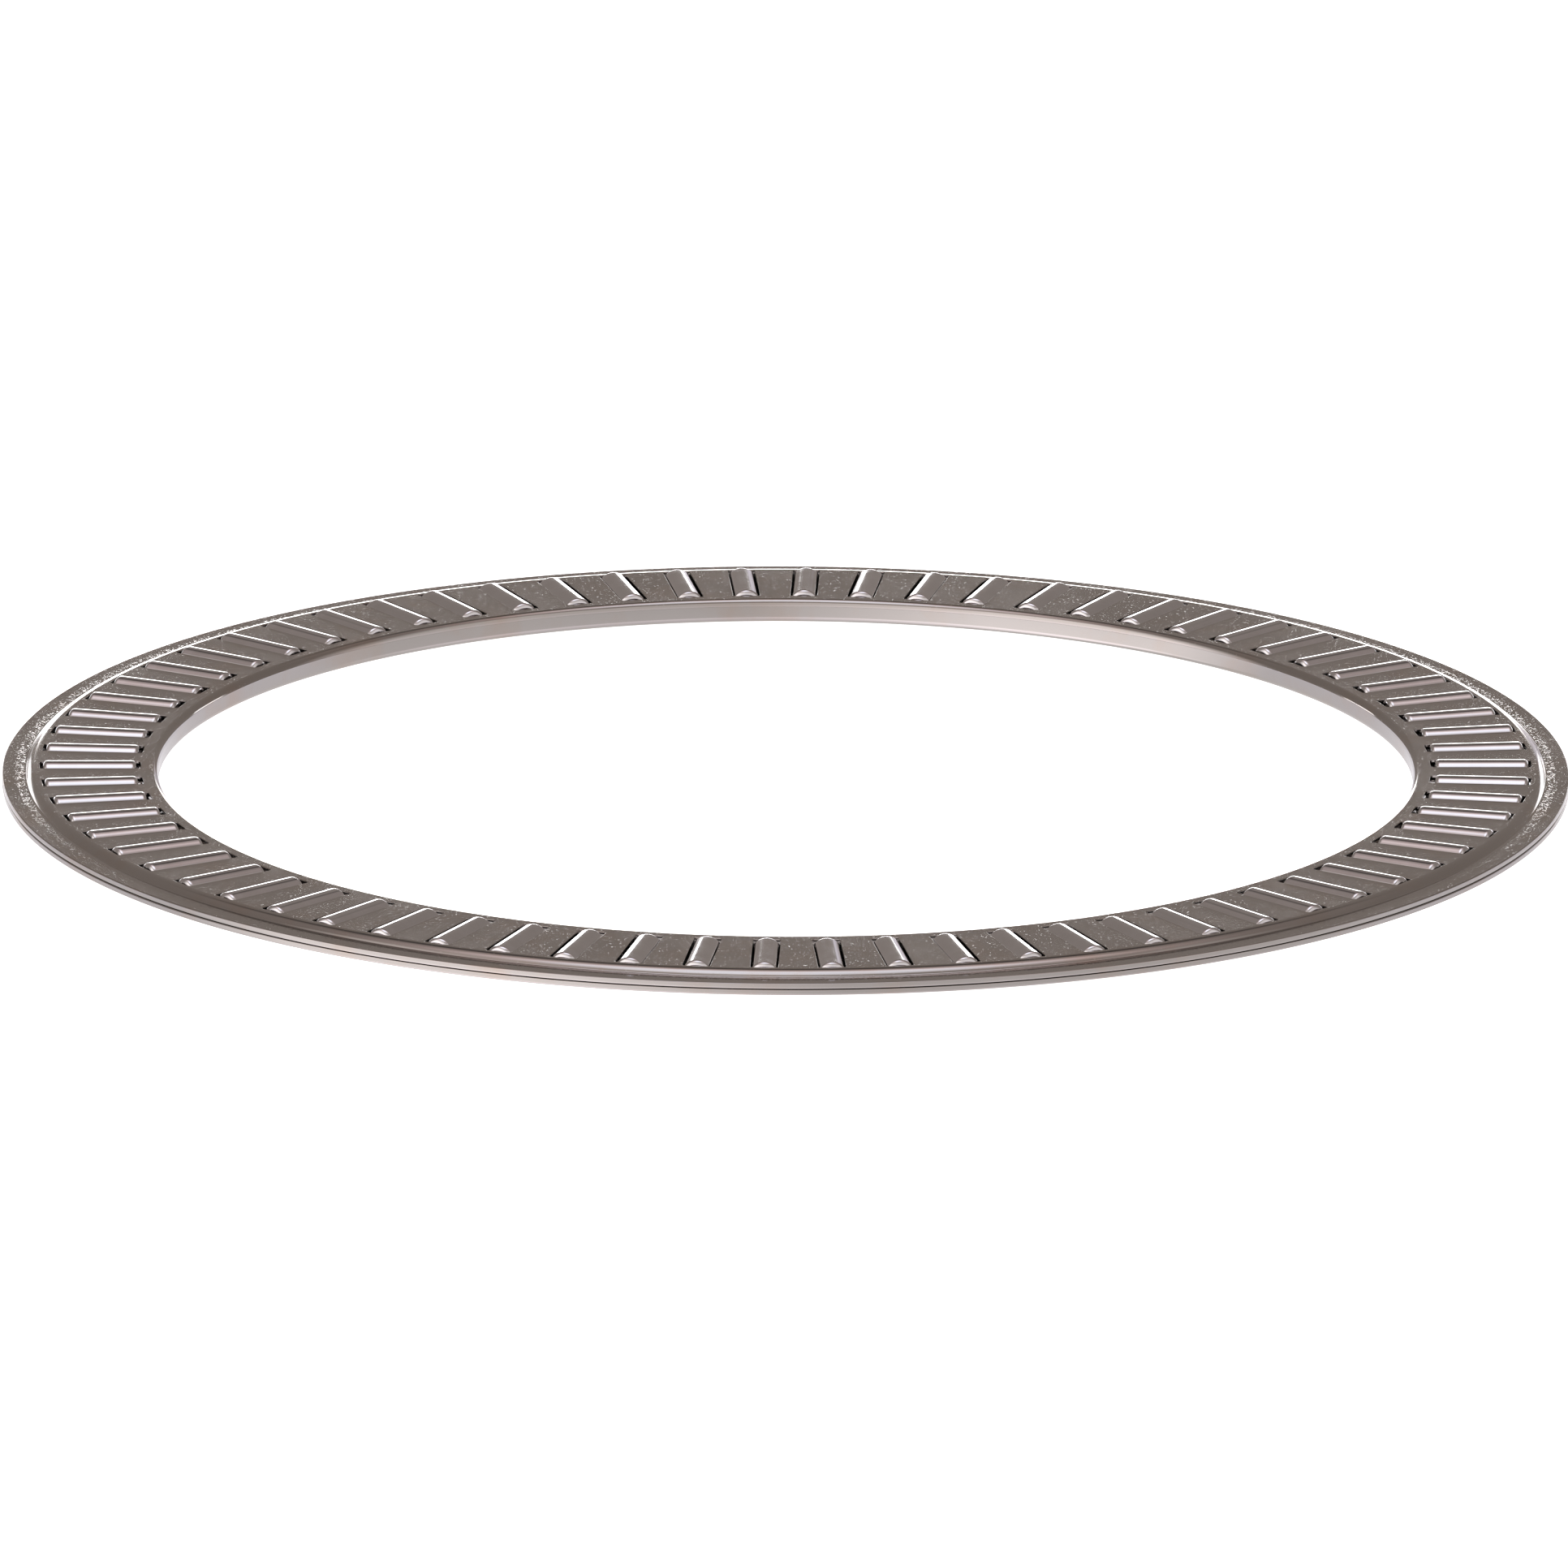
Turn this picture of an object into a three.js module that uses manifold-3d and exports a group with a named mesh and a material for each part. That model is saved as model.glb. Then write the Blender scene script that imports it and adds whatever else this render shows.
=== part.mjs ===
// Thrust needle roller and cage assembly with an outer flange.
//
// Two pressed steel rings, mirror images but for their inner rims, make a hollow cage.
// Their flanges lie back to back on the outside, and at the bore the upper ring's wall
// is rolled under the lower ring's rim, which holds the two together. Radial pockets
// pass through both rings, and each pocket holds one needle roller that stands proud of
// the cage above and below. The pocket edges are narrower than the roller, so the
// rollers can't fall out. Millimetres, +Z along the bearing's axis, origin at its centre.

import * as THREE from 'three';
import { mergeVertices } from 'three/addons/utils/BufferGeometryUtils.js';
import Module from 'manifold-3d';

// Rollers
const ROLLER_DIAMETER = 2.25;
const ROLLER_LENGTH = 6.8;
const ROLLER_END_CHAMFER = 0.35;
const ROLLER_SIDES = 12;
const PITCH_RADIUS = 49.7; // middle of a roller, from the bearing's axis

// Pockets, one for each roller of the real bearing
const POCKET_COUNT = 70;
const EMPTY_POCKETS = 12; // spread evenly: only 58 rollers are modelled as parts here
const POCKET_LENGTH = 7.2;
const POCKET_MOUTH = 1.94; // width at the cage's outer face, less than the roller's
const POCKET_INSIDE = 2.25; // width at the sheet's inner face

// Pressed sheet
const SHEET = 0.4;
const CAGE_HEIGHT = 1.7;
const SEAM_GAP = 0.04; // between the two flanges
const BORE_RADIUS = 44.83;
const BORE_FILLET = 0.55;

// Flange, and the step up from it to the cage's flat face
const FLANGE_RADIUS = 56;
const RIM_CHAMFER = 0.08;
const STEP_FOOT_RADIUS = 54.35;
const STEP_TOP_RADIUS = 53.42;
const STEP_OUTER_BEND = 1.1;
const STEP_INNER_BEND = 0.12;

// Rolled hem under the bore wall, and the lower ring's rim that it grips
const HEM_BEND = 0.45;
const HEM_THICKNESS = 0.25;
const HEM_RADIUS = 45.65;
const HEM_CORNER = 0.1; // bevel inside the bend, between the wall and the hem
const RIM_GAP = 0.03; // between the hem and the rim above it
const RIM_RADIUS = 45.3;
const RIM_THICKNESS = 0.37;
const JOGGLE_RADIUS = 45.73; // where the rim steps down to the lower flat face
const JOGGLE_RUN = 0.12;

const HALF_HEIGHT = CAGE_HEIGHT / 2;
const FLAT_INSIDE = HALF_HEIGHT - SHEET;
const FLANGE_INSIDE = SEAM_GAP / 2;
const FLANGE_FACE = FLANGE_INSIDE + SHEET;
const PITCH_ANGLE = (2 * Math.PI) / POCKET_COUNT;

const cageSteel = new THREE.MeshStandardMaterial({ color: 0x8d857d, roughness: 0.38, metalness: 0.9 });
const rollerSteel = new THREE.MeshStandardMaterial({ color: 0xd6d7dc, roughness: 0.15, metalness: 1 });

const at = (r, z) => new THREE.Vector2(r, z);

// Points on a circle of the profile plane, from one angle to another, both in radians.
function arc(centreR, centreZ, radius, from, to, steps) {
  const points = [];
  for (let i = 0; i <= steps; i++) {
    const angle = from + ((to - from) * i) / steps;
    points.push(at(centreR + radius * Math.cos(angle), centreZ + radius * Math.sin(angle)));
  }
  return points;
}

// The step between the flange and the flat face: a tight bend at its foot and a wide one
// at its top, with next to no straight slope between them. Its points run from the flange
// inwards. Depth 0 is the outer skin of the sheet.
function stepSkin(depth, bendSteps) {
  const run = STEP_FOOT_RADIUS - STEP_TOP_RADIUS;
  const rise = FLANGE_FACE + STEP_INNER_BEND - (HALF_HEIGHT - STEP_OUTER_BEND);
  const straight = Math.asin((STEP_OUTER_BEND + STEP_INNER_BEND) / Math.hypot(run, rise));
  const slope = straight - Math.atan2(rise, run); // how steeply it leans, from level
  const foot = [STEP_FOOT_RADIUS, FLANGE_FACE + STEP_INNER_BEND, STEP_INNER_BEND + depth];
  const top = [STEP_TOP_RADIUS, HALF_HEIGHT - STEP_OUTER_BEND, STEP_OUTER_BEND - depth];
  return [
    ...arc(...foot, -Math.PI / 2, -Math.PI / 2 - slope, bendSteps),
    ...arc(...top, Math.PI / 2 - slope, Math.PI / 2, bendSteps),
  ];
}

// The flange's edge and the step, shared by both rings: the outer skin from the seam
// over the rim to the flat face, and the inner skin back from the flat face to the seam.
function flangeOutside() {
  return [
    at(FLANGE_RADIUS - RIM_CHAMFER, FLANGE_INSIDE),
    at(FLANGE_RADIUS, FLANGE_INSIDE + RIM_CHAMFER),
    at(FLANGE_RADIUS, FLANGE_FACE - RIM_CHAMFER),
    at(FLANGE_RADIUS - RIM_CHAMFER, FLANGE_FACE),
    ...stepSkin(0, 3),
  ];
}
const flangeInside = () => stepSkin(SHEET, 1).reverse();

// The upper ring: flat face, bore wall down to the cage's lower face, and the hem.
function upperProfile() {
  const filletR = BORE_RADIUS + BORE_FILLET;
  const filletZ = HALF_HEIGHT - BORE_FILLET;
  const hemTop = -HALF_HEIGHT + HEM_THICKNESS;
  const wallOutside = BORE_RADIUS + SHEET;
  return [
    ...flangeOutside(),
    ...arc(filletR, filletZ, BORE_FILLET, Math.PI / 2, Math.PI, 2),
    ...arc(BORE_RADIUS + HEM_BEND, -HALF_HEIGHT + HEM_BEND, HEM_BEND, Math.PI, 1.5 * Math.PI, 2),
    at(HEM_RADIUS, -HALF_HEIGHT),
    at(HEM_RADIUS, hemTop),
    at(wallOutside + HEM_CORNER, hemTop),
    at(wallOutside, hemTop + HEM_CORNER),
    ...arc(filletR, filletZ, BORE_FILLET - SHEET, Math.PI, Math.PI / 2, 1),
    ...flangeInside(),
  ];
}

// The lower ring, drawn face up like the upper one. Its inner rim is joggled inwards
// by the hem's thickness, so that the hem lies flush with the flat face.
function lowerProfile() {
  const rimFace = HALF_HEIGHT - HEM_THICKNESS - RIM_GAP;
  const rimInside = rimFace - RIM_THICKNESS;
  return [
    ...flangeOutside(),
    at(JOGGLE_RADIUS, HALF_HEIGHT),
    at(JOGGLE_RADIUS, rimFace),
    at(RIM_RADIUS, rimFace),
    at(RIM_RADIUS, rimInside),
    at(JOGGLE_RADIUS + JOGGLE_RUN, rimInside),
    at(JOGGLE_RADIUS + 2 * JOGGLE_RUN, FLAT_INSIDE),
    ...flangeInside(),
  ];
}

// Turns a closed profile about Z, with one flat facet for each pocket.
function turnedRing(profile) {
  return new THREE.LatheGeometry([...profile, profile[0]], POCKET_COUNT).rotateX(Math.PI / 2);
}

// The space cut from the upper ring for one roller, centred on +X. Its sides close in
// towards the cage's outer face, which leaves the lips that keep the roller in.
function pocketCutter() {
  const inside = POCKET_INSIDE / 2;
  const mouth = POCKET_MOUTH / 2;
  const below = FLAT_INSIDE / 2;
  const above = 2 * HALF_HEIGHT;
  const outline = new THREE.Shape([
    at(-inside, below),
    at(inside, below),
    at(inside, FLAT_INSIDE),
    at(mouth, HALF_HEIGHT),
    at(mouth, above),
    at(-mouth, above),
    at(-mouth, HALF_HEIGHT),
    at(-inside, FLAT_INSIDE),
  ]);
  const alongRadius = new THREE.Matrix4().makeBasis(
    new THREE.Vector3(0, 1, 0),
    new THREE.Vector3(0, 0, 1),
    new THREE.Vector3(1, 0, 0),
  );
  return new THREE.ExtrudeGeometry(outline, { depth: POCKET_LENGTH, bevelEnabled: false })
    .applyMatrix4(alongRadius)
    .translate(PITCH_RADIUS - POCKET_LENGTH / 2, 0, 0);
}

const wasm = await Module();
wasm.setup();

function toSolid(geometry) {
  const bare = geometry.clone();
  bare.deleteAttribute('normal');
  bare.deleteAttribute('uv');
  const merged = mergeVertices(bare);
  return new wasm.Manifold(new wasm.Mesh({
    numProp: 3,
    vertProperties: new Float32Array(merged.attributes.position.array),
    triVerts: new Uint32Array(merged.index.array),
  }));
}

function toGeometry(solid) {
  const mesh = solid.getMesh();
  const indexed = new THREE.BufferGeometry();
  indexed.setAttribute('position', new THREE.BufferAttribute(mesh.vertProperties, 3));
  indexed.setIndex(new THREE.BufferAttribute(mesh.triVerts, 1));
  const geometry = indexed.toNonIndexed();
  geometry.computeVertexNormals();
  return geometry;
}

// One ring of the cage with all its pockets, flat face up.
function cageRing(profile) {
  let ring = toSolid(turnedRing(profile));
  for (let i = 0; i < POCKET_COUNT; i++) {
    ring = ring.subtract(toSolid(pocketCutter().rotateZ(i * PITCH_ANGLE)));
  }
  return toGeometry(ring);
}

// A needle with chamfered ends, its axis along X and an edge at its highest point.
function rollerGeometry() {
  const radius = ROLLER_DIAMETER / 2;
  const end = ROLLER_LENGTH / 2;
  const outline = [
    at(0, -end),
    at(radius - ROLLER_END_CHAMFER, -end),
    at(radius, -end + ROLLER_END_CHAMFER),
    at(radius, end - ROLLER_END_CHAMFER),
    at(radius - ROLLER_END_CHAMFER, end),
    at(0, end),
  ];
  return new THREE.LatheGeometry(outline, ROLLER_SIDES).rotateZ(-Math.PI / 2);
}

function named(name, geometry, material) {
  const mesh = new THREE.Mesh(geometry, material);
  mesh.name = name;
  return mesh;
}

const bearing = new THREE.Group();

bearing.add(named('cage_upper_half', cageRing(upperProfile()), cageSteel));

const lowerHalf = named('cage_lower_half', cageRing(lowerProfile()), cageSteel);
lowerHalf.rotation.x = Math.PI; // the same way up as the upper ring when made, so turned over
bearing.add(lowerHalf);

// Pocket numbers start on +X and run anticlockwise seen from above.
const emptiesUpTo = (pocket) => Math.floor((pocket * EMPTY_POCKETS) / POCKET_COUNT);
const needle = rollerGeometry();
for (let pocket = 1; pocket <= POCKET_COUNT; pocket++) {
  if (emptiesUpTo(pocket) > emptiesUpTo(pocket - 1)) continue;
  const place = new THREE.Group();
  place.rotation.z = (pocket - 1) * PITCH_ANGLE;
  const roller = named(`needle_roller_${String(pocket).padStart(2, '0')}`, needle, rollerSteel);
  roller.position.x = PITCH_RADIUS;
  place.add(roller);
  bearing.add(place);
}

export default bearing;
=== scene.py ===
"""A thrust needle roller and cage assembly with an outer flange, lying on a white table.

The CAD frame gives the places and the main sizes. The faceted cage rings and rollers are
replaced here by fine ones of the same size, with rounded edges and procedural steel, and
the pockets that the CAD model leaves open get their rollers. Lengths are in metres.
"""

import math
import random

import bmesh
import bpy
from mathutils import Matrix, Vector


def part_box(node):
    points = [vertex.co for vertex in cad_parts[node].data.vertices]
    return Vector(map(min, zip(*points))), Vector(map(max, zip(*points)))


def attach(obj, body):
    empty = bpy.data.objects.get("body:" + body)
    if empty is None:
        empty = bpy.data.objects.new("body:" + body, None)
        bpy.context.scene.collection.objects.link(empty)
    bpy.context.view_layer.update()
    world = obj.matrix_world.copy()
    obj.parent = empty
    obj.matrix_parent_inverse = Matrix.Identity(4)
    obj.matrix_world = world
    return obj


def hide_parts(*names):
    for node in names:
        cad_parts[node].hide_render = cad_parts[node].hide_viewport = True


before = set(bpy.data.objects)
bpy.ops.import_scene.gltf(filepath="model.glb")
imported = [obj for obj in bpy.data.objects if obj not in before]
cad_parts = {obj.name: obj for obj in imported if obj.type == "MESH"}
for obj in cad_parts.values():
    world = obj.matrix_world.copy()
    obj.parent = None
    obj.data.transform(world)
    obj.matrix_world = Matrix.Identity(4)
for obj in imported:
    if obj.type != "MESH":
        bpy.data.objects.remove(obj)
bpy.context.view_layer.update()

MM = 0.001

# Sizes read from the frame
roller_low, roller_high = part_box("needle_roller_01")
cage_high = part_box("cage_upper_half")[1]
ROLLER_RADIUS = (roller_high.z - roller_low.z) / 2
ROLLER_LENGTH = roller_high.x - roller_low.x
PITCH_RADIUS = (roller_high.x + roller_low.x) / 2
HALF_HEIGHT = cage_high.z
FLANGE_RADIUS = cage_high.y
FLANGE_INSIDE = -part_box("cage_lower_half")[1].z

# The rest of the cage's section, as in the CAD model
POCKET_COUNT = 70
POCKET_LENGTH = 7.2 * MM
POCKET_MOUTH = 1.94 * MM
POCKET_INSIDE = 2.25 * MM
SHEET = 0.4 * MM
BORE_RADIUS = 44.83 * MM
BORE_FILLET = 0.55 * MM
STEP_FOOT_RADIUS = 54.35 * MM
STEP_TOP_RADIUS = 53.42 * MM
STEP_OUTER_BEND = 1.1 * MM
STEP_INNER_BEND = 0.12 * MM
HEM_BEND = 0.45 * MM
HEM_THICKNESS = 0.25 * MM
HEM_RADIUS = 45.65 * MM
HEM_CORNER = 0.1 * MM
RIM_GAP = 0.03 * MM
RIM_RADIUS = 45.3 * MM
RIM_THICKNESS = 0.37 * MM
JOGGLE_RADIUS = 45.73 * MM
JOGGLE_RUN = 0.12 * MM

# Finish that the CAD model leaves out
FLANGE_EDGE = 0.09 * MM  # rounding of the flange's rim
SHEET_EDGE = 0.05 * MM  # rounding of the other sheared edges
POCKET_CORNER = 0.18 * MM
ROLLER_CORNER = 0.33 * MM
ROLLER_DOME = 0.06 * MM
ROLLER_SLIDE = (0.02 * MM, 0.17 * MM)  # how far each has slid outwards in its pocket

# Where the press has left the flange rough: radii at which the band fades in and out
ROUGH_FADE_IN = (STEP_FOOT_RADIUS, STEP_FOOT_RADIUS + 0.1 * MM)
ROUGH_FADE_OUT = (STEP_FOOT_RADIUS + 0.9 * MM, STEP_FOOT_RADIUS + 0.6 * MM)

# Faces along each arc of the cage's section
RIM_STEPS = 4
STEP_STEPS = 5  # of the step's foot; its top has twice as many
FILLET_STEPS = 9
HEM_STEPS = 8
SHEARED_STEPS = 2
JOGGLE_STEPS = 3
INSIDE_STEP_STEPS = 3
INSIDE_FILLET_STEPS = 4

QUARTER = math.pi / 2
PITCH_ANGLE = 2 * math.pi / POCKET_COUNT
FLAT_INSIDE = HALF_HEIGHT - SHEET
FLANGE_FACE = FLANGE_INSIDE + SHEET
FLOOR_Z = -ROLLER_RADIUS

# The camera, from the photograph's perspective
CAMERA_DISTANCE = 40 * FLANGE_RADIUS
CAMERA_SENSOR = 36.0
CAMERA_LENS = 719.4
CAMERA_CLIP = (0.1, 50.0)
CAMERA_ELEVATION = math.radians(15.489)
CAMERA_AZIMUTH = math.radians(-1.0)
CAMERA_ROLL = math.radians(0.216)
AIM_RIGHT = -0.12 * MM
AIM_UP = -0.203 * MM


# ---------------------------------------------------------------- section of the cage


def arc(centre_r, centre_z, radius, start, end, steps):
    """Points of a circle in the section's plane, from angle start to angle end."""
    points = []
    for i in range(steps + 1):
        angle = start + (end - start) * i / steps
        points.append((centre_r + radius * math.cos(angle), centre_z + radius * math.sin(angle)))
    return points


def step_skin(depth, steps):
    """The step from the flange up to the flat face, on the sheet's skin at that depth."""
    run = STEP_FOOT_RADIUS - STEP_TOP_RADIUS
    rise = FLANGE_FACE + STEP_INNER_BEND - (HALF_HEIGHT - STEP_OUTER_BEND)
    straight = math.asin((STEP_OUTER_BEND + STEP_INNER_BEND) / math.hypot(run, rise))
    slope = straight - math.atan2(rise, run)
    foot = (STEP_FOOT_RADIUS, FLANGE_FACE + STEP_INNER_BEND, STEP_INNER_BEND + depth)
    top = (STEP_TOP_RADIUS, HALF_HEIGHT - STEP_OUTER_BEND, STEP_OUTER_BEND - depth)
    return (
        arc(*foot, -QUARTER, -QUARTER - slope, steps)
        + arc(*top, QUARTER - slope, QUARTER, 2 * steps)
    )


def flange_outside():
    """From the seam round the rim's rounded edges, and up the step to the flat face."""
    edge_r = FLANGE_RADIUS - FLANGE_EDGE
    lower_edge = arc(edge_r, FLANGE_INSIDE + FLANGE_EDGE, FLANGE_EDGE, -QUARTER, 0, RIM_STEPS)
    upper_edge = arc(edge_r, FLANGE_FACE - FLANGE_EDGE, FLANGE_EDGE, 0, QUARTER, RIM_STEPS)
    return lower_edge + upper_edge + step_skin(0, STEP_STEPS)


def inner_skin():
    """The step again, from the flat face back to the seam on the sheet's inside."""
    return step_skin(SHEET, INSIDE_STEP_STEPS)[::-1]


def upper_section():
    """The upper ring's section as three runs: outer skin, bore side and inner skin."""
    fillet_r = BORE_RADIUS + BORE_FILLET
    fillet_z = HALF_HEIGHT - BORE_FILLET
    hem_top = -HALF_HEIGHT + HEM_THICKNESS
    wall = BORE_RADIUS + SHEET
    edge_r = HEM_RADIUS - SHEET_EDGE
    bend = (BORE_RADIUS + HEM_BEND, -HALF_HEIGHT + HEM_BEND, HEM_BEND)
    bore_side = (
        arc(fillet_r, fillet_z, BORE_FILLET, QUARTER, math.pi, FILLET_STEPS)
        + arc(*bend, math.pi, 1.5 * math.pi, HEM_STEPS)
        + arc(edge_r, -HALF_HEIGHT + SHEET_EDGE, SHEET_EDGE, -QUARTER, 0, SHEARED_STEPS)
        + arc(edge_r, hem_top - SHEET_EDGE, SHEET_EDGE, 0, QUARTER, SHEARED_STEPS)
        + [(wall + HEM_CORNER, hem_top), (wall, hem_top + HEM_CORNER)]
        + arc(fillet_r, fillet_z, BORE_FILLET - SHEET, math.pi, QUARTER, INSIDE_FILLET_STEPS)
    )
    return flange_outside(), bore_side, inner_skin()


def lower_section():
    """The lower ring's section, drawn flat face up. Its rim sits over the upper one's hem."""
    rim_face = HALF_HEIGHT - HEM_THICKNESS - RIM_GAP
    rim_inside = rim_face - RIM_THICKNESS
    edge = (JOGGLE_RADIUS + SHEET_EDGE, HALF_HEIGHT - SHEET_EDGE, SHEET_EDGE)
    bore_side = arc(*edge, QUARTER, math.pi, JOGGLE_STEPS) + [
        (JOGGLE_RADIUS, rim_face),
        (RIM_RADIUS, rim_face),
        (RIM_RADIUS, rim_inside),
        (JOGGLE_RADIUS + JOGGLE_RUN, rim_inside),
        (JOGGLE_RADIUS + 2 * JOGGLE_RUN, FLAT_INSIDE),
    ]
    return flange_outside(), bore_side, inner_skin()


# ------------------------------------------------------------------------ cage rings

COLUMNS = 8  # faces across one sector
CORNER_STEPS = 4
MOUTH_STEPS = 2
WELD = 1e-6  # sectors' points closer than this become one


def pocket_outline(half_width, growth):
    """The pocket's outline, which starts in the middle of its outer end and goes all round."""
    reach = POCKET_LENGTH / 2 + growth
    corner = POCKET_CORNER + growth
    side = half_width + growth - corner
    one_side = arc(PITCH_RADIUS + reach - corner, side, corner, 0, QUARTER, CORNER_STEPS)
    one_side += arc(PITCH_RADIUS - reach + corner, side, corner, QUARTER, math.pi, CORNER_STEPS)
    other_side = [(x, -y) for x, y in reversed(one_side)]
    return [(PITCH_RADIUS + reach, 0)] + one_side + [(PITCH_RADIUS - reach, 0)] + other_side


def pocket_loops(bm):
    """Vertex loops down the pocket's wall: its rounded mouth, then the lip that slopes out."""
    loops = []
    edge = (SHEET_EDGE, HALF_HEIGHT - SHEET_EDGE, SHEET_EDGE)
    for growth, z in arc(*edge, QUARTER, math.pi, MOUTH_STEPS):
        outline = pocket_outline(POCKET_MOUTH / 2, growth)
        loops.append([bm.verts.new((x, y, z)) for x, y in outline])
    outline = pocket_outline(POCKET_INSIDE / 2, 0)
    loops.append([bm.verts.new((x, y, FLAT_INSIDE)) for x, y in outline])
    return loops


def fill_flat(bm, far_row, near_row, loop):
    """The sheet's flat skin round the pocket's loop, as one face on each side of the X axis."""
    middle = COLUMNS // 2
    turn = len(loop) // 2
    left = far_row[middle:] + near_row[middle:][::-1] + loop[: turn + 1][::-1]
    right = far_row[: middle + 1][::-1] + near_row[: middle + 1] + loop[turn:] + loop[:1]
    bm.faces.new(left)
    bm.faces.new(right)


def sector(outer, bore_side, inner):
    """One pocket's share of a ring, centred on +X, with the pocket's walls in place."""
    bm = bmesh.new()
    angles = [PITCH_ANGLE * (i / COLUMNS - 0.5) for i in range(COLUMNS + 1)]

    def sweep(run):
        rows = []
        for r, z in run:
            rows.append([bm.verts.new((r * math.cos(a), r * math.sin(a), z)) for a in angles])
        for row, following in zip(rows, rows[1:]):
            for j in range(COLUMNS):
                bm.faces.new((row[j], following[j], following[j + 1], row[j + 1]))
        return rows

    flange = sweep(inner + outer)
    bore = sweep(bore_side)
    loops = pocket_loops(bm)
    for upper, lower in zip(loops, loops[1:]):
        for j in range(len(upper)):
            after = (j + 1) % len(upper)
            bm.faces.new((upper[j], upper[after], lower[after], lower[j]))
    fill_flat(bm, flange[-1], bore[0], loops[0])
    fill_flat(bm, flange[0], bore[-1], loops[-1])
    return bm


def ring_mesh(name, section, turned_over=False):
    """All the sectors of one ring, welded into one closed mesh."""
    one = sector(*section)
    flat = bpy.data.meshes.new(name + "_sector")
    one.to_mesh(flat)
    one.free()
    whole = bmesh.new()
    for i in range(POCKET_COUNT):
        piece = flat.copy()
        piece.transform(Matrix.Rotation(i * PITCH_ANGLE, 4, "Z"))
        whole.from_mesh(piece)
        bpy.data.meshes.remove(piece)
    bpy.data.meshes.remove(flat)
    bmesh.ops.remove_doubles(whole, verts=whole.verts, dist=WELD)
    if turned_over:
        bmesh.ops.transform(whole, matrix=Matrix.Rotation(math.pi, 4, "X"), verts=whole.verts)
    bmesh.ops.recalc_face_normals(whole, faces=whole.faces)
    mesh = bpy.data.meshes.new(name)
    whole.to_mesh(mesh)
    whole.free()
    return mesh


# --------------------------------------------------------------------------- rollers

ROLLER_SEGMENTS = 48
ROLLER_CORNER_STEPS = 8
DOME_RINGS = (0.35, 0.7)  # as parts of the domed end's radius
SUPPORT = 0.03 * MM  # a ring this far inside the corner keeps the side's shading straight


def roller_mesh():
    """A needle along X: ground side, rounded corners and slightly domed ends."""
    flat_radius = ROLLER_RADIUS - ROLLER_CORNER
    end = ROLLER_LENGTH / 2
    shoulder = end - ROLLER_DOME - ROLLER_CORNER
    corner = arc(shoulder, flat_radius, ROLLER_CORNER, 0, QUARTER, ROLLER_CORNER_STEPS)
    dome = [(end - ROLLER_DOME * t * t, flat_radius * t) for t in DOME_RINGS]
    half = dome + corner + [(shoulder - SUPPORT, ROLLER_RADIUS)]
    outline = [(-x, r) for x, r in half] + [(x, r) for x, r in reversed(half)]

    bm = bmesh.new()
    rings = []
    for x, r in outline:
        turns = [2 * math.pi * k / ROLLER_SEGMENTS for k in range(ROLLER_SEGMENTS)]
        rings.append([bm.verts.new((x, r * math.cos(t), r * math.sin(t))) for t in turns])
    for a, b in zip(rings, rings[1:]):
        for k in range(ROLLER_SEGMENTS):
            after = (k + 1) % ROLLER_SEGMENTS
            bm.faces.new((a[k], a[after], b[after], b[k]))
    for ring, x in ((rings[0], -end), (rings[-1], end)):
        tip = bm.verts.new((x, 0, 0))
        for k in range(ROLLER_SEGMENTS):
            bm.faces.new((ring[k], ring[(k + 1) % ROLLER_SEGMENTS], tip))
    bmesh.ops.recalc_face_normals(bm, faces=bm.faces)
    mesh = bpy.data.meshes.new("needle")
    bm.to_mesh(mesh)
    bm.free()
    return mesh


# ------------------------------------------------------------------------- materials

STRIP_DARK = (0.41, 0.385, 0.37, 1)
STRIP_LIGHT = (0.47, 0.445, 0.43, 1)
STRIP_BROWN = (0.44, 0.36, 0.31, 1)
STRIP_BROWN_SHARE = 0.55
STRIP_ROUGHNESS = (0.07, 0.13)
STRIP_BUMP = 0.5
PIT_DEPTH = 0.005 * MM
PIT_RANGE = (0.66, 0.76)  # pits begin at the first value of the grain and are full at the second
PIT_SPREAD = 0.08  # how much denser they are in the rough band
PIT_GAIN = 2.2  # and how much deeper
DRAW_MARKS = 0.12  # their height, with a pit's as 1

NEEDLE_DARK = (0.60, 0.58, 0.58, 1)
NEEDLE_LIGHT = (0.70, 0.69, 0.71, 1)
NEEDLE_ROUGHNESS = (0.07, 0.14)
NEEDLE_BUMP = 0.12
GRINDING_DEPTH = 0.002 * MM

# Noises: scale, detail and, for some, roughness
STRIP_CLOUDS = (90.0, 4.0)
STRIP_STAINS = (210.0, 5.0, 0.6)
STRIP_GRAIN = (6200.0, 2.0, 0.6)
DRAW_LINES = (1.0, 3.0)
NEEDLE_CLOUDS = (700.0, 3.0)
GRINDING_LINES = (1.0, 2.0)

# Scales along each axis that turn a noise into lines
DRAW_STRETCH = (150.0, 4000.0, 4000.0)
GRINDING_STRETCH = (9000.0, 400.0, 400.0)

# Where most of a noise's values lie, and where those of the stains do that show
CLOUD_RANGE = (0.3, 0.7)
STAIN_RANGE = (0.5, 0.72)


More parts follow.
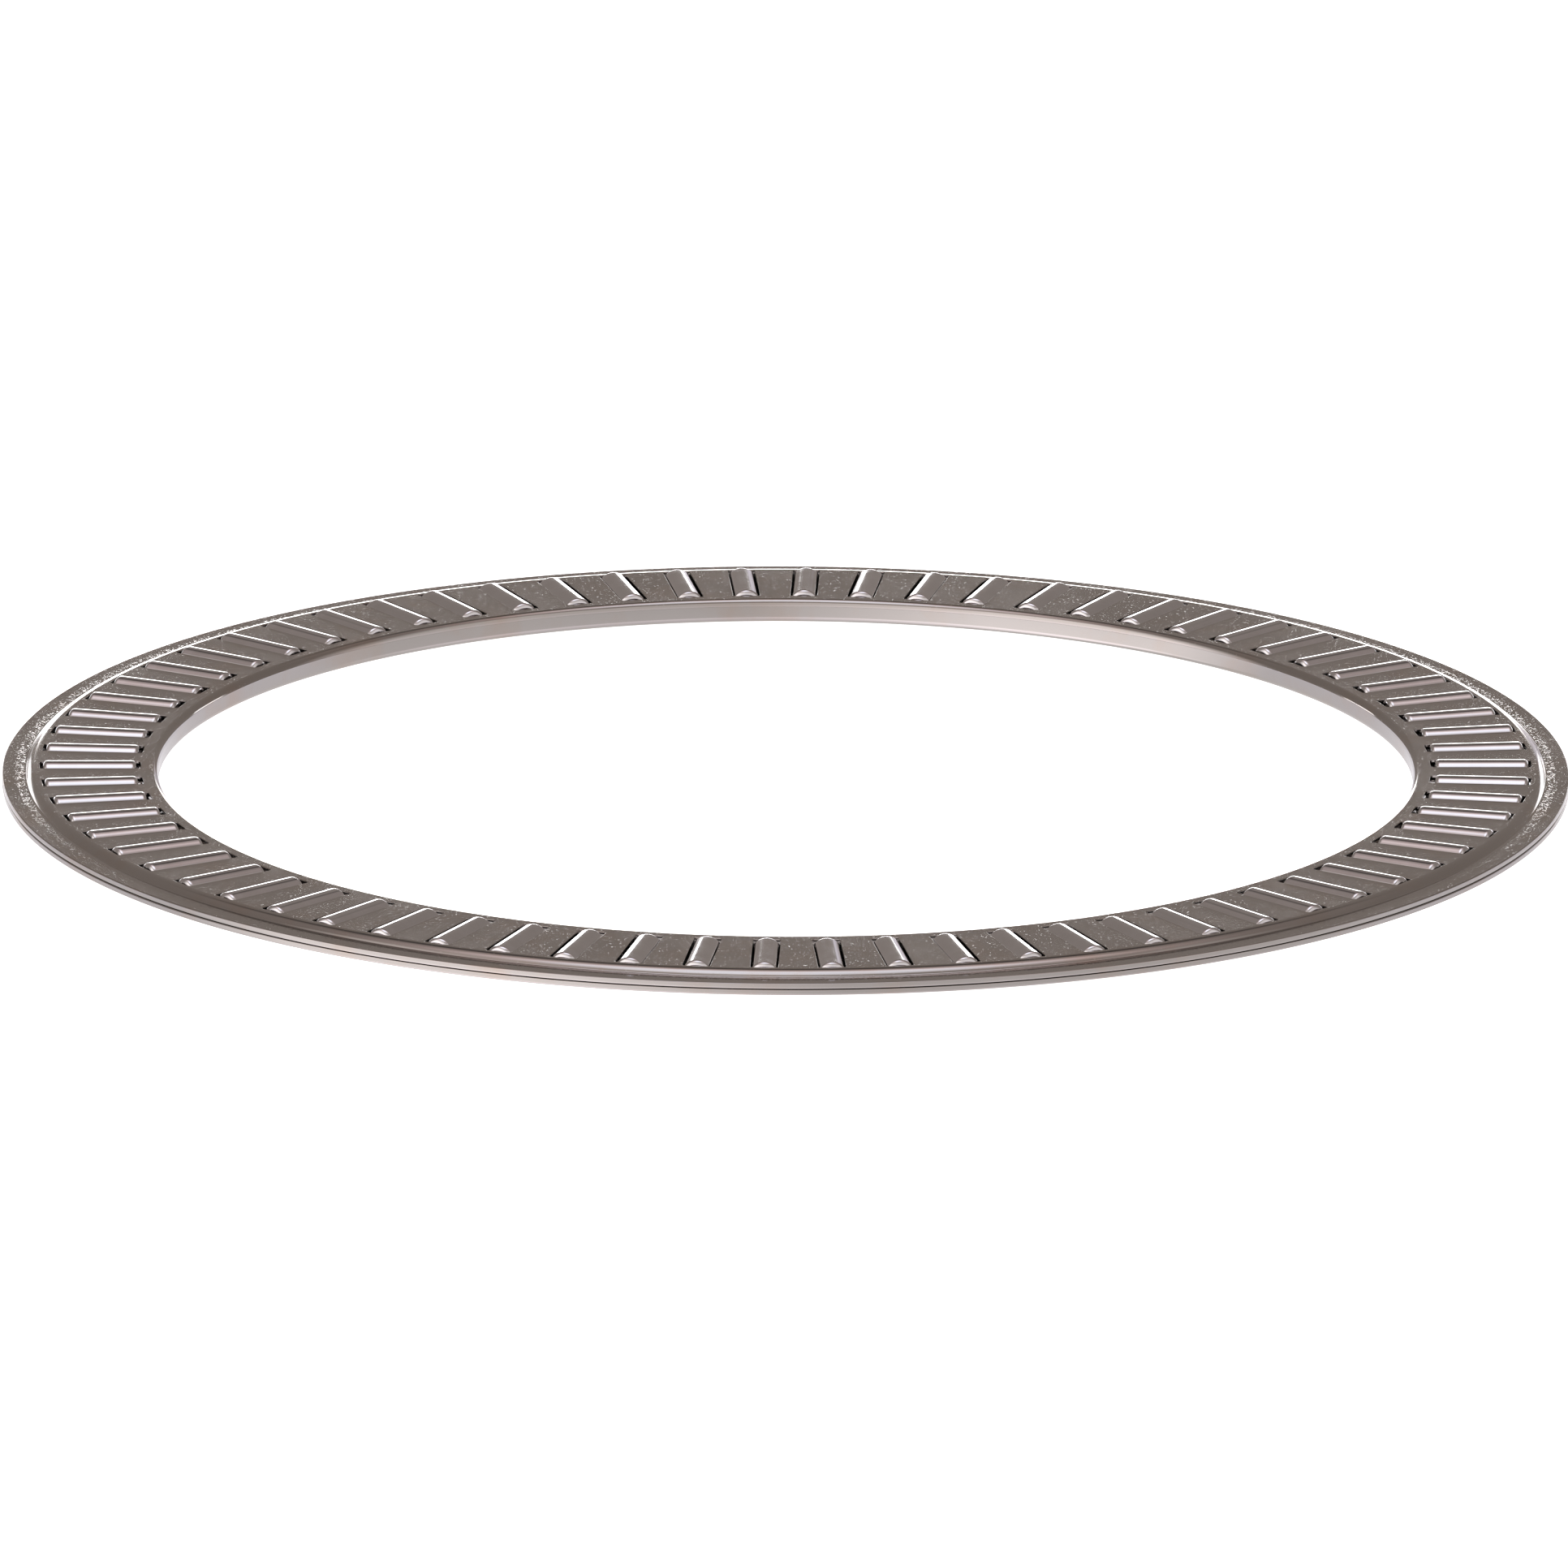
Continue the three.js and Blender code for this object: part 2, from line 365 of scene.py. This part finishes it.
class Nodes:
    """A short way to write shader nodes in one tree."""

    def __init__(self, tree):
        self.tree = tree

    def add(self, kind, inputs=None, **settings):
        node = self.tree.nodes.new("ShaderNode" + kind)
        for key, value in settings.items():
            setattr(node, key, value)
        for key, value in (inputs or {}).items():
            self.plug(value, node.inputs[key])
        return node

    def plug(self, value, socket):
        if isinstance(value, bpy.types.NodeSocket):
            self.tree.links.new(value, socket)
        else:
            socket.default_value = value

    def math(self, operation, a, b=0.0):
        return self.add("Math", {0: a, 1: b}, operation=operation).outputs[0]

    def noise(self, vector, scale, detail=3.0, roughness=0.55):
        inputs = {"Vector": vector, "Scale": scale, "Detail": detail, "Roughness": roughness}
        return self.add("TexNoise", inputs).outputs["Fac"]

    def stretch(self, vector, scale):
        return self.add("Mapping", {"Vector": vector, "Scale": scale}).outputs["Vector"]

    def ramp(self, value, low, high, to_low=0.0, to_high=1.0):
        ends = {"From Min": low, "From Max": high, "To Min": to_low, "To Max": to_high}
        return self.add("MapRange", {"Value": value, **ends}).outputs["Result"]

    def blend(self, factor, a, b):
        """Mixes two colours. A Mix node's colour sockets have no name of their own."""
        return self.add("Mix", {0: factor, 6: a, 7: b}, data_type="RGBA").outputs[2]

    def bump(self, height, strength, distance):
        inputs = {"Height": height, "Strength": strength, "Distance": distance}
        return self.add("Bump", inputs).outputs["Normal"]


def new_material(name):
    """A material, and its nodes with the shader at hand."""
    material = bpy.data.materials.new(name)
    material.use_nodes = True
    n = Nodes(material.node_tree)
    n.shader = material.node_tree.nodes["Principled BSDF"]
    return material, n


def round_the_axis(n):
    """Coordinates that follow the ring: along the circumference, outwards and upwards."""
    place = n.add("TexCoord").outputs["Object"]
    parts = n.add("SeparateXYZ", {"Vector": place}).outputs
    angle = n.math("ARCTAN2", parts["Y"], parts["X"])
    flat = n.add("CombineXYZ", {"X": parts["X"], "Y": parts["Y"]}).outputs["Vector"]
    radius = n.add("VectorMath", {0: flat}, operation="LENGTH").outputs["Value"]
    along = n.math("MULTIPLY", angle, PITCH_RADIUS)
    ring = n.add("CombineXYZ", {"X": along, "Y": radius, "Z": parts["Z"]}).outputs["Vector"]
    return place, ring


def cage_steel():
    """Cold rolled strip, pressed: glossy with fine pits, draw marks and brown tinges.

    Beside the foot of the step the press has left the flange rough and sparkling.
    """
    material, n = new_material("pressed_cage_steel")
    place, ring = round_the_axis(n)
    radius = n.add("SeparateXYZ", {"Vector": ring}).outputs["Y"]
    cloud = n.noise(place, *STRIP_CLOUDS)
    grain = n.noise(place, *STRIP_GRAIN)
    draw = n.noise(n.stretch(ring, DRAW_STRETCH), *DRAW_LINES)
    brown = n.ramp(n.noise(place, *STRIP_STAINS), *STAIN_RANGE, 0.0, STRIP_BROWN_SHARE)
    steel = n.blend(cloud, STRIP_DARK, STRIP_LIGHT)
    n.plug(n.blend(brown, steel, STRIP_BROWN), n.shader.inputs["Base Color"])
    n.plug(1.0, n.shader.inputs["Metallic"])
    n.plug(n.ramp(cloud, *CLOUD_RANGE, *STRIP_ROUGHNESS), n.shader.inputs["Roughness"])
    rough = n.math("MULTIPLY", n.ramp(radius, *ROUGH_FADE_IN), n.ramp(radius, *ROUGH_FADE_OUT))
    pits = n.ramp(n.math("ADD", grain, n.math("MULTIPLY", rough, PIT_SPREAD)), *PIT_RANGE)
    pits = n.math("MULTIPLY", pits, n.ramp(rough, 0.0, 1.0, 1.0, PIT_GAIN))
    height = n.math("ADD", n.math("MULTIPLY", draw, DRAW_MARKS), pits)
    n.plug(n.bump(height, STRIP_BUMP, PIT_DEPTH), n.shader.inputs["Normal"])
    return material


def roller_steel():
    """Hardened steel, ground and polished, with faint grinding lines round the needle."""
    material, n = new_material("polished_roller_steel")
    place = n.add("TexCoord").outputs["Object"]
    lines = n.noise(n.stretch(place, GRINDING_STRETCH), *GRINDING_LINES)
    cloud = n.noise(place, *NEEDLE_CLOUDS)
    n.plug(n.blend(cloud, NEEDLE_DARK, NEEDLE_LIGHT), n.shader.inputs["Base Color"])
    n.plug(1.0, n.shader.inputs["Metallic"])
    n.plug(n.ramp(cloud, *CLOUD_RANGE, *NEEDLE_ROUGHNESS), n.shader.inputs["Roughness"])
    n.plug(n.bump(lines, NEEDLE_BUMP, GRINDING_DEPTH), n.shader.inputs["Normal"])
    return material


# ---------------------------------------------------------------------------- pieces


FLAT_FACE_WEIGHT = 90  # 50 is even, and more favours large faces
SHUFFLE_SEED = 7


def add_piece(name, mesh, material, replaced=()):
    """A shown piece with its material, in place of the CAD nodes it replaces."""
    piece = bpy.data.objects.new(name, mesh)
    bpy.context.scene.collection.objects.link(piece)
    if not mesh.materials:
        mesh.materials.append(material)
    mesh.shade_smooth()
    if replaced:
        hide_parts(*replaced)
    return piece


def keep_flats_flat(piece):
    """Weights the smooth normals by face area, so that flat faces stay flat to their edges."""
    weighted = piece.modifiers.new("flat_faces", "WEIGHTED_NORMAL")
    weighted.keep_sharp = True
    weighted.weight = FLAT_FACE_WEIGHT


def make_cage():
    steel = cage_steel()
    halves = (("upper", upper_section(), False), ("lower", lower_section(), True))
    for half, section, turned_over in halves:
        name = f"{half}_cage_ring"
        mesh = ring_mesh(name, section, turned_over)
        piece = add_piece(name, mesh, steel, [f"cage_{half}_half"])
        keep_flats_flat(piece)
        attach(piece, "cage")


def make_rollers():
    """A needle in every pocket. Those with no CAD node of their own ride on the cage."""
    steel = roller_steel()
    mesh = roller_mesh()
    shuffle = random.Random(SHUFFLE_SEED)
    for number in range(1, POCKET_COUNT + 1):
        label = f"{number:02d}"
        in_cad = f"needle_roller_{label}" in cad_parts
        replaced = [f"needle_roller_{label}"] if in_cad else []
        body = f"roller_{label}" if in_cad else "cage"
        piece = add_piece(f"needle_{label}", mesh, steel, replaced)
        outwards = PITCH_RADIUS + shuffle.uniform(*ROLLER_SLIDE)
        turn = Matrix.Rotation((number - 1) * PITCH_ANGLE, 4, "Z")
        piece.matrix_world = turn @ Matrix.Translation((outwards, 0, 0))
        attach(piece, body)


# ------------------------------------------------------------------ stage and camera


TABLE_REACH = 60 * FLANGE_RADIUS
TABLE_CORNERS = ((-1, -1), (1, -1), (1, 1), (-1, 1))
TABLE_COLOUR = (0.9, 0.9, 0.9, 1)


def make_floor():
    """A white lit table top. The metal mirrors the studio and not this plane."""
    mesh = bpy.data.meshes.new("table_top")
    corners = [(x * TABLE_REACH, y * TABLE_REACH, FLOOR_Z) for x, y in TABLE_CORNERS]
    mesh.from_pydata(corners, [], [(0, 1, 2, 3)])
    floor = bpy.data.objects.new("table_top", mesh)
    floor.visible_glossy = False
    bpy.context.scene.collection.objects.link(floor)
    material, n = new_material("lit_table_top")
    n.plug(TABLE_COLOUR, n.shader.inputs["Base Color"])
    n.plug((1, 1, 1, 1), n.shader.inputs["Emission Color"])
    n.plug(1.0, n.shader.inputs["Emission Strength"])
    mesh.materials.append(material)


# The studio round the object: its light by sine of the elevation, from straight down to
# straight up. Behind the object the table top is bright up to the horizon, the walls are
# dim and warm, and a wide soft box hangs overhead. In front of it the walls are paler, but
# for a dim band high up.
STUDIO_PEAK = 6.0  # the brightest light in it, to which the colours below are scaled
STUDIO_BEHIND = (
    (-1.0, (0.90, 0.88, 0.86)),
    (-0.5, (0.95, 0.92, 0.92)),
    (-0.15, (0.95, 0.92, 0.97)),
    (-0.03, (1.05, 1.02, 1.08)),
    (0.0, (0.295, 0.257, 0.235)),
    (0.60, (0.28, 0.243, 0.222)),
    (0.80, (0.33, 0.28, 0.26)),
    (0.88, (0.55, 0.45, 0.43)),
    (0.93, (1.05, 0.88, 0.87)),
    (0.965, (1.52, 1.48, 1.60)),
    (0.99, (1.60, 1.64, 1.82)),
    (1.0, (1.40, 1.43, 1.58)),
)
STUDIO_IN_FRONT = (
    (-1.0, (0.95, 0.90, 0.93)),
    (-0.55, (1.28, 1.20, 1.25)),
    (-0.40, (0.88, 0.84, 0.84)),
    (-0.10, (0.80, 0.77, 0.77)),
    (0.15, (0.98, 0.91, 0.92)),
    (0.45, (0.84, 0.79, 0.77)),
    (0.80, (0.82, 0.765, 0.74)),
    (0.86, (0.42, 0.37, 0.35)),
    (0.95, (0.42, 0.37, 0.35)),
    (0.98, (1.00, 0.98, 1.02)),
    (1.0, (1.40, 1.43, 1.58)),
)
LEFT_GAIN = 1.85  # how much brighter the front is towards the left
LEFT_FADE = (-0.6, 0.1)  # the X of a direction where that gain is full and where it ends
FRONT_FADE = (-0.2, 0.2)  # the Y of a direction where the front meets what lies behind

# A dark gap high behind the object, below the light overhead
GAP_LIGHT = (0.10, 0.085, 0.08)
GAP_SIDE = math.radians(16)  # to each side of +Y
GAP_SIDE_FADE = math.radians(14)
GAP_BOTTOM = math.radians(40)
GAP_TOP = math.radians(51)
GAP_FADE = math.radians(3)

# A bright window low behind the object
BACKLIGHT = (6.0, 6.0, 6.0)
BACKLIGHT_SIDE = math.radians(6.5)
BACKLIGHT_SIDE_FADE = math.radians(2.5)
BACKLIGHT_BOTTOM = math.radians(-4)
BACKLIGHT_TOP = math.radians(8.5)
BACKLIGHT_FADE = math.radians(1.5)

# The wall to the right of the window is a little brighter than the rest
GLOW = (0.75, 0.70, 0.76)
GLOW_CENTRE = math.radians(7)
GLOW_SIDE = math.radians(5.5)
GLOW_SIDE_FADE = math.radians(2)

# Two bright cards standing behind the object, one for each side's step
CARD_DISTANCE = 150 * MM
CARD_ASIDE = 121 * MM
CARD_WIDTH = 66 * MM
CARD_HEIGHT = 22 * MM
CARD_FOOT = 6 * MM  # above the table
CARD_LIGHT = 2.2
CARD_COLOUR = (0.96, 0.97, 1.0)


def studio_colour(light):
    return (*(level / STUDIO_PEAK for level in light), 1)


def studio_ramp(n, height, stops):
    """Light by height, which runs from 0, straight down, to 1, straight up."""
    ramp = n.add("ValToRGB", {"Fac": height})
    elements = ramp.color_ramp.elements
    while len(elements) < len(stops):
        elements.new(1.0)
    for element, (sine, light) in zip(elements, stops):
        element.position = (sine + 1) / 2
        element.color = studio_colour(light)
    return ramp.outputs["Color"]


def patch(n, aside, elevation, side, side_fade, bottom, top, fade):
    """1 inside a patch of the studio, fading to 0 outside. Aside is the angle from its middle."""
    across = n.ramp(aside, side, side + side_fade, 1.0, 0.0)
    above = n.ramp(elevation, bottom - fade, bottom)
    below = n.ramp(elevation, top, top + fade, 1.0, 0.0)
    return n.math("MULTIPLY", across, n.math("MULTIPLY", above, below))


def make_studio():
    world = bpy.data.worlds.new("studio")
    bpy.context.scene.world = world
    world.use_nodes = True
    n = Nodes(world.node_tree)
    parts = n.add("SeparateXYZ", {"Vector": n.add("TexCoord").outputs["Generated"]}).outputs
    height = n.ramp(parts["Z"], -1.0, 1.0)
    behind = studio_ramp(n, height, STUDIO_BEHIND)
    in_front = studio_ramp(n, height, STUDIO_IN_FRONT)
    brighter = {0: in_front, "Scale": n.ramp(parts["X"], *LEFT_FADE, LEFT_GAIN, 1.0)}
    in_front = n.add("VectorMath", brighter, operation="SCALE").outputs["Vector"]
    walls = n.blend(n.ramp(parts["Y"], *FRONT_FADE), in_front, behind)

    azimuth = n.math("ARCTAN2", parts["X"], parts["Y"])
    aside = n.math("ABSOLUTE", azimuth)
    elevation = n.math("ARCSINE", parts["Z"])
    gap = patch(n, aside, elevation, GAP_SIDE, GAP_SIDE_FADE, GAP_BOTTOM, GAP_TOP, GAP_FADE)
    walls = n.blend(gap, walls, studio_colour(GAP_LIGHT))
    band = (BACKLIGHT_BOTTOM, BACKLIGHT_TOP, BACKLIGHT_FADE)
    from_glow = n.math("ABSOLUTE", n.math("SUBTRACT", azimuth, GLOW_CENTRE))
    glow = patch(n, from_glow, elevation, GLOW_SIDE, GLOW_SIDE_FADE, *band)
    walls = n.blend(glow, walls, studio_colour(GLOW))
    window = patch(n, aside, elevation, BACKLIGHT_SIDE, BACKLIGHT_SIDE_FADE, *band)
    background = world.node_tree.nodes["Background"]
    n.plug(n.blend(window, walls, studio_colour(BACKLIGHT)), background.inputs["Color"])
    background.inputs["Strength"].default_value = STUDIO_PEAK


def make_cards():
    for name, x in (("card_left", -CARD_ASIDE), ("card_right", CARD_ASIDE)):
        data = bpy.data.lights.new(name, "AREA")
        data.shape = "RECTANGLE"
        data.color = CARD_COLOUR
        data.size, data.size_y = CARD_WIDTH, CARD_HEIGHT
        data.energy = CARD_LIGHT * math.pi * CARD_WIDTH * CARD_HEIGHT
        card = bpy.data.objects.new(name, data)
        card.location = (x, CARD_DISTANCE, FLOOR_Z + CARD_FOOT + CARD_HEIGHT / 2)
        card.rotation_euler = (-QUARTER, 0, 0)
        bpy.context.scene.collection.objects.link(card)


def make_camera():
    """The camera looks at a point just beside the middle of the cage's lower flange."""
    data = bpy.data.cameras.new("camera")
    data.sensor_width = CAMERA_SENSOR
    data.lens = CAMERA_LENS
    data.clip_start, data.clip_end = CAMERA_CLIP
    camera = bpy.data.objects.new("camera", data)
    bpy.context.scene.collection.objects.link(camera)
    bpy.context.scene.camera = camera
    right = Vector((math.cos(CAMERA_AZIMUTH), math.sin(CAMERA_AZIMUTH), 0))
    ahead = Vector((-math.sin(CAMERA_AZIMUTH), math.cos(CAMERA_AZIMUTH), 0))
    look = ahead * math.cos(CAMERA_ELEVATION) - Vector((0, 0, math.sin(CAMERA_ELEVATION)))
    up = right.cross(look)
    aim = Vector((0, 0, -FLANGE_FACE)) + right * AIM_RIGHT + up * AIM_UP
    level = Matrix((right, up, -look)).transposed().to_4x4()
    camera.matrix_world = (
        Matrix.Translation(aim - look * CAMERA_DISTANCE)
        @ level
        @ Matrix.Rotation(CAMERA_ROLL, 4, "Z")
    )


make_camera()
make_studio()
make_cards()
make_floor()
make_cage()
make_rollers()
bpy.context.scene.view_settings.view_transform = "Standard"
